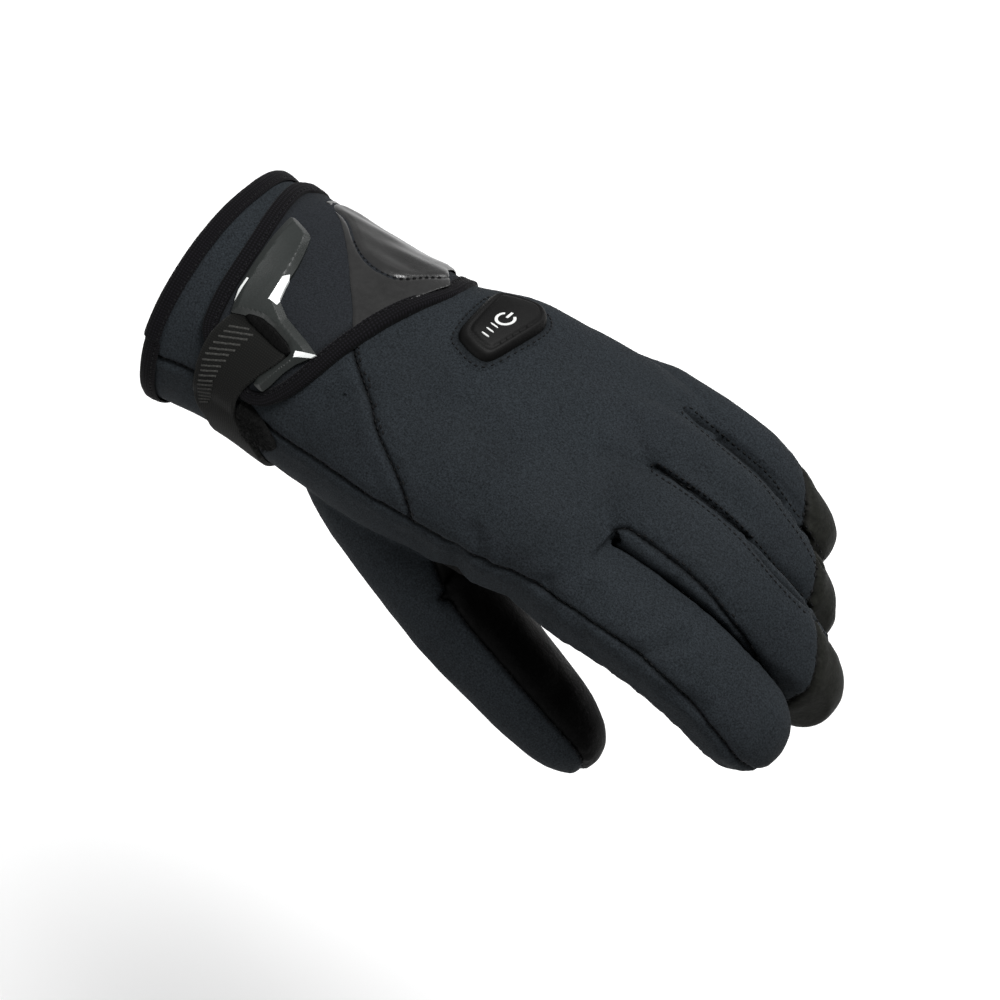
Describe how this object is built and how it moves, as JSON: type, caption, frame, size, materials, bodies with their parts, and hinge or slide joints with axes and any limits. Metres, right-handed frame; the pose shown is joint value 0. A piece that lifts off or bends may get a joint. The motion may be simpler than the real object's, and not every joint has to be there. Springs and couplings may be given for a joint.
{
  "type": "heated winter glove",
  "caption": "Left-hand insulated winter glove in its worn shape, with a wrist flap, strap closure, moulded strap anchor and a rubber power button on the back of the hand.",
  "frame": {"origin": "middle of the hollow at the wrist, where the closure strap goes round", "axes": "+X from the wrist to the fingertips, +Y to the little finger's side, +Z out of the back of the hand"},
  "size_m": [0.26, 0.1244, 0.1079],
  "materials": {
    "softshell": "matt brushed softshell cloth, dark blue-grey with a fine speckle",
    "flap_cloth": "matt smooth softshell cloth, dark grey",
    "leather": "black fine-grained leather with a soft sheen",
    "edging": "woven edging tape, nearly black with a purple cast",
    "gloss_film": "glossy embossed film",
    "moulded_plastic": "satin moulded plastic, dark grey with bright bevels",
    "webbing": "ribbed black webbing and brushed hook-and-loop",
    "button_rubber": "soft black rubber",
    "button_print": "white printed mark"
  },
  "bodies": {
    "root": {"back_panel": "softshell", "wrist_panel": "softshell", "side_panel": "softshell", "palm_panel": "leather", "thumb_patch": "leather", "fourchette_1": "softshell", "fourchette_2": "softshell", "fourchette_3": "softshell", "cuff_binding": "edging", "closure_flap": "flap_cloth", "flap_binding": "edging", "film_panel": "gloss_film", "strap_anchor": "moulded_plastic", "closure_strap": "webbing", "hook_tab": "webbing", "button_base": "button_rubber", "button_cap": "button_rubber", "level_bar_1": "button_print", "level_bar_2": "button_print", "level_bar_3": "button_print", "power_ring": "button_print", "power_bar": "button_print"}
  },
  "joints": []
}
